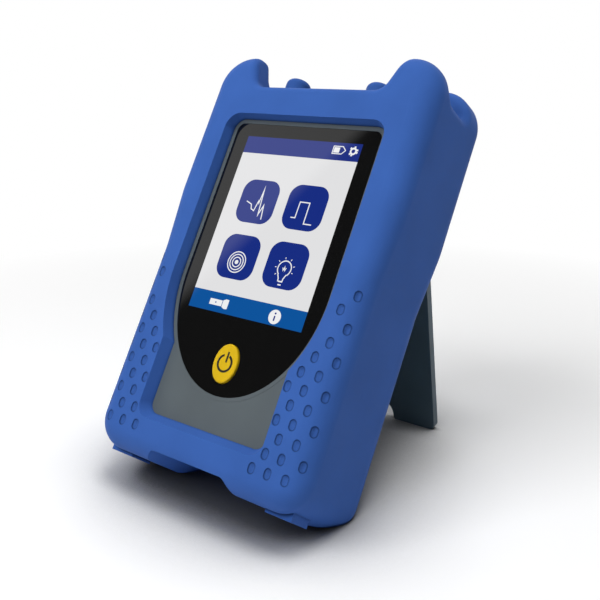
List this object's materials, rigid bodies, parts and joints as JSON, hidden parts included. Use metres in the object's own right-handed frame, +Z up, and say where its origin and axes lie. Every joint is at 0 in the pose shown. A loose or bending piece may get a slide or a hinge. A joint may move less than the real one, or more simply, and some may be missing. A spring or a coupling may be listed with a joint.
{
  "type": "optical time domain reflectometer",
  "caption": "Hand-held fibre tester with a touch display and power button in a rubber boot, standing on its folding kickstand.",
  "frame": {"origin": "on the ground under the middle of the instrument as it stands on its open kickstand", "axes": "+X to the right as the user faces the display, +Y away from the user, +Z up; the instrument leans back by 31.5 degrees"},
  "size_m": [0.1022, 0.121, 0.1573],
  "materials": {
    "boot_rubber": "soft satin",
    "cap_rubber": "satin",
    "housing_plastic": "satin",
    "panel_plastic": "satin",
    "cover_glass": "gloss",
    "display": "satin",
    "button_plastic": "satin",
    "stand_plastic": "satin",
    "steel": "satin",
    "nickel": "satin",
    "ceramic": "gloss",
    "gasket_rubber": "matt",
    "board_laminate": "satin",
    "moulded_black": "matt",
    "module_metal": "satin",
    "spool_plastic": "matt",
    "battery_wrap": "satin"
  },
  "bodies": {
    "tester": {"battery_contacts": "moulded_black", "battery_lid": "housing_plastic", "battery_pack": "battery_wrap", "board_screws": "steel", "buzzer": "moulded_black", "case_screws": "steel", "charge_socket": "steel", "cover_glass": "cover_glass", "display_frame": "steel", "display_module": "display", "display_screws": "steel", "ferrule_sleeves": "ceramic", "fibre_spool": "spool_plastic", "front_housing": "housing_plastic", "hinge_pin": "steel", "housing_gasket": "gasket_rubber", "lid_screws": "steel", "main_board": "board_laminate", "optics_module": "module_metal", "panel_screws": "steel", "port_panel": "panel_plastic", "power_switch": "moulded_black", "protective_boot": "boot_rubber", "rear_housing": "housing_plastic", "shield_can": "steel", "source_module": "module_metal", "source_port": "nickel", "test_port": "nickel"},
    "button": {"power_button": "button_plastic"},
    "stand": {"kickstand": "stand_plastic"},
    "test_cap": {"test_port_cap": "cap_rubber"},
    "source_cap": {"source_port_cap": "cap_rubber"}
  },
  "joints": [
    {"name": "stand_fold", "type": "hinge", "parent": "tester", "child": "stand", "pos_m": [0, 0.03843, 0.10059], "axis": [1, 0, 0], "range_deg": [-42.4, 0]},
    {"name": "button_press", "type": "slide", "parent": "tester", "child": "button", "axis": [0, 0.8525, -0.5227], "range_m": [0, 0.0006], "stiffness_N_per_m": 3000, "springref_m": -0.0002},
    {"name": "test_cap_pull", "type": "slide", "parent": "tester", "child": "test_cap", "axis": [0, 0.5227, 0.8525], "range_m": [0, 0.012]},
    {"name": "source_cap_pull", "type": "slide", "parent": "tester", "child": "source_cap", "axis": [0, 0.5227, 0.8525], "range_m": [0, 0.012]}
  ]
}
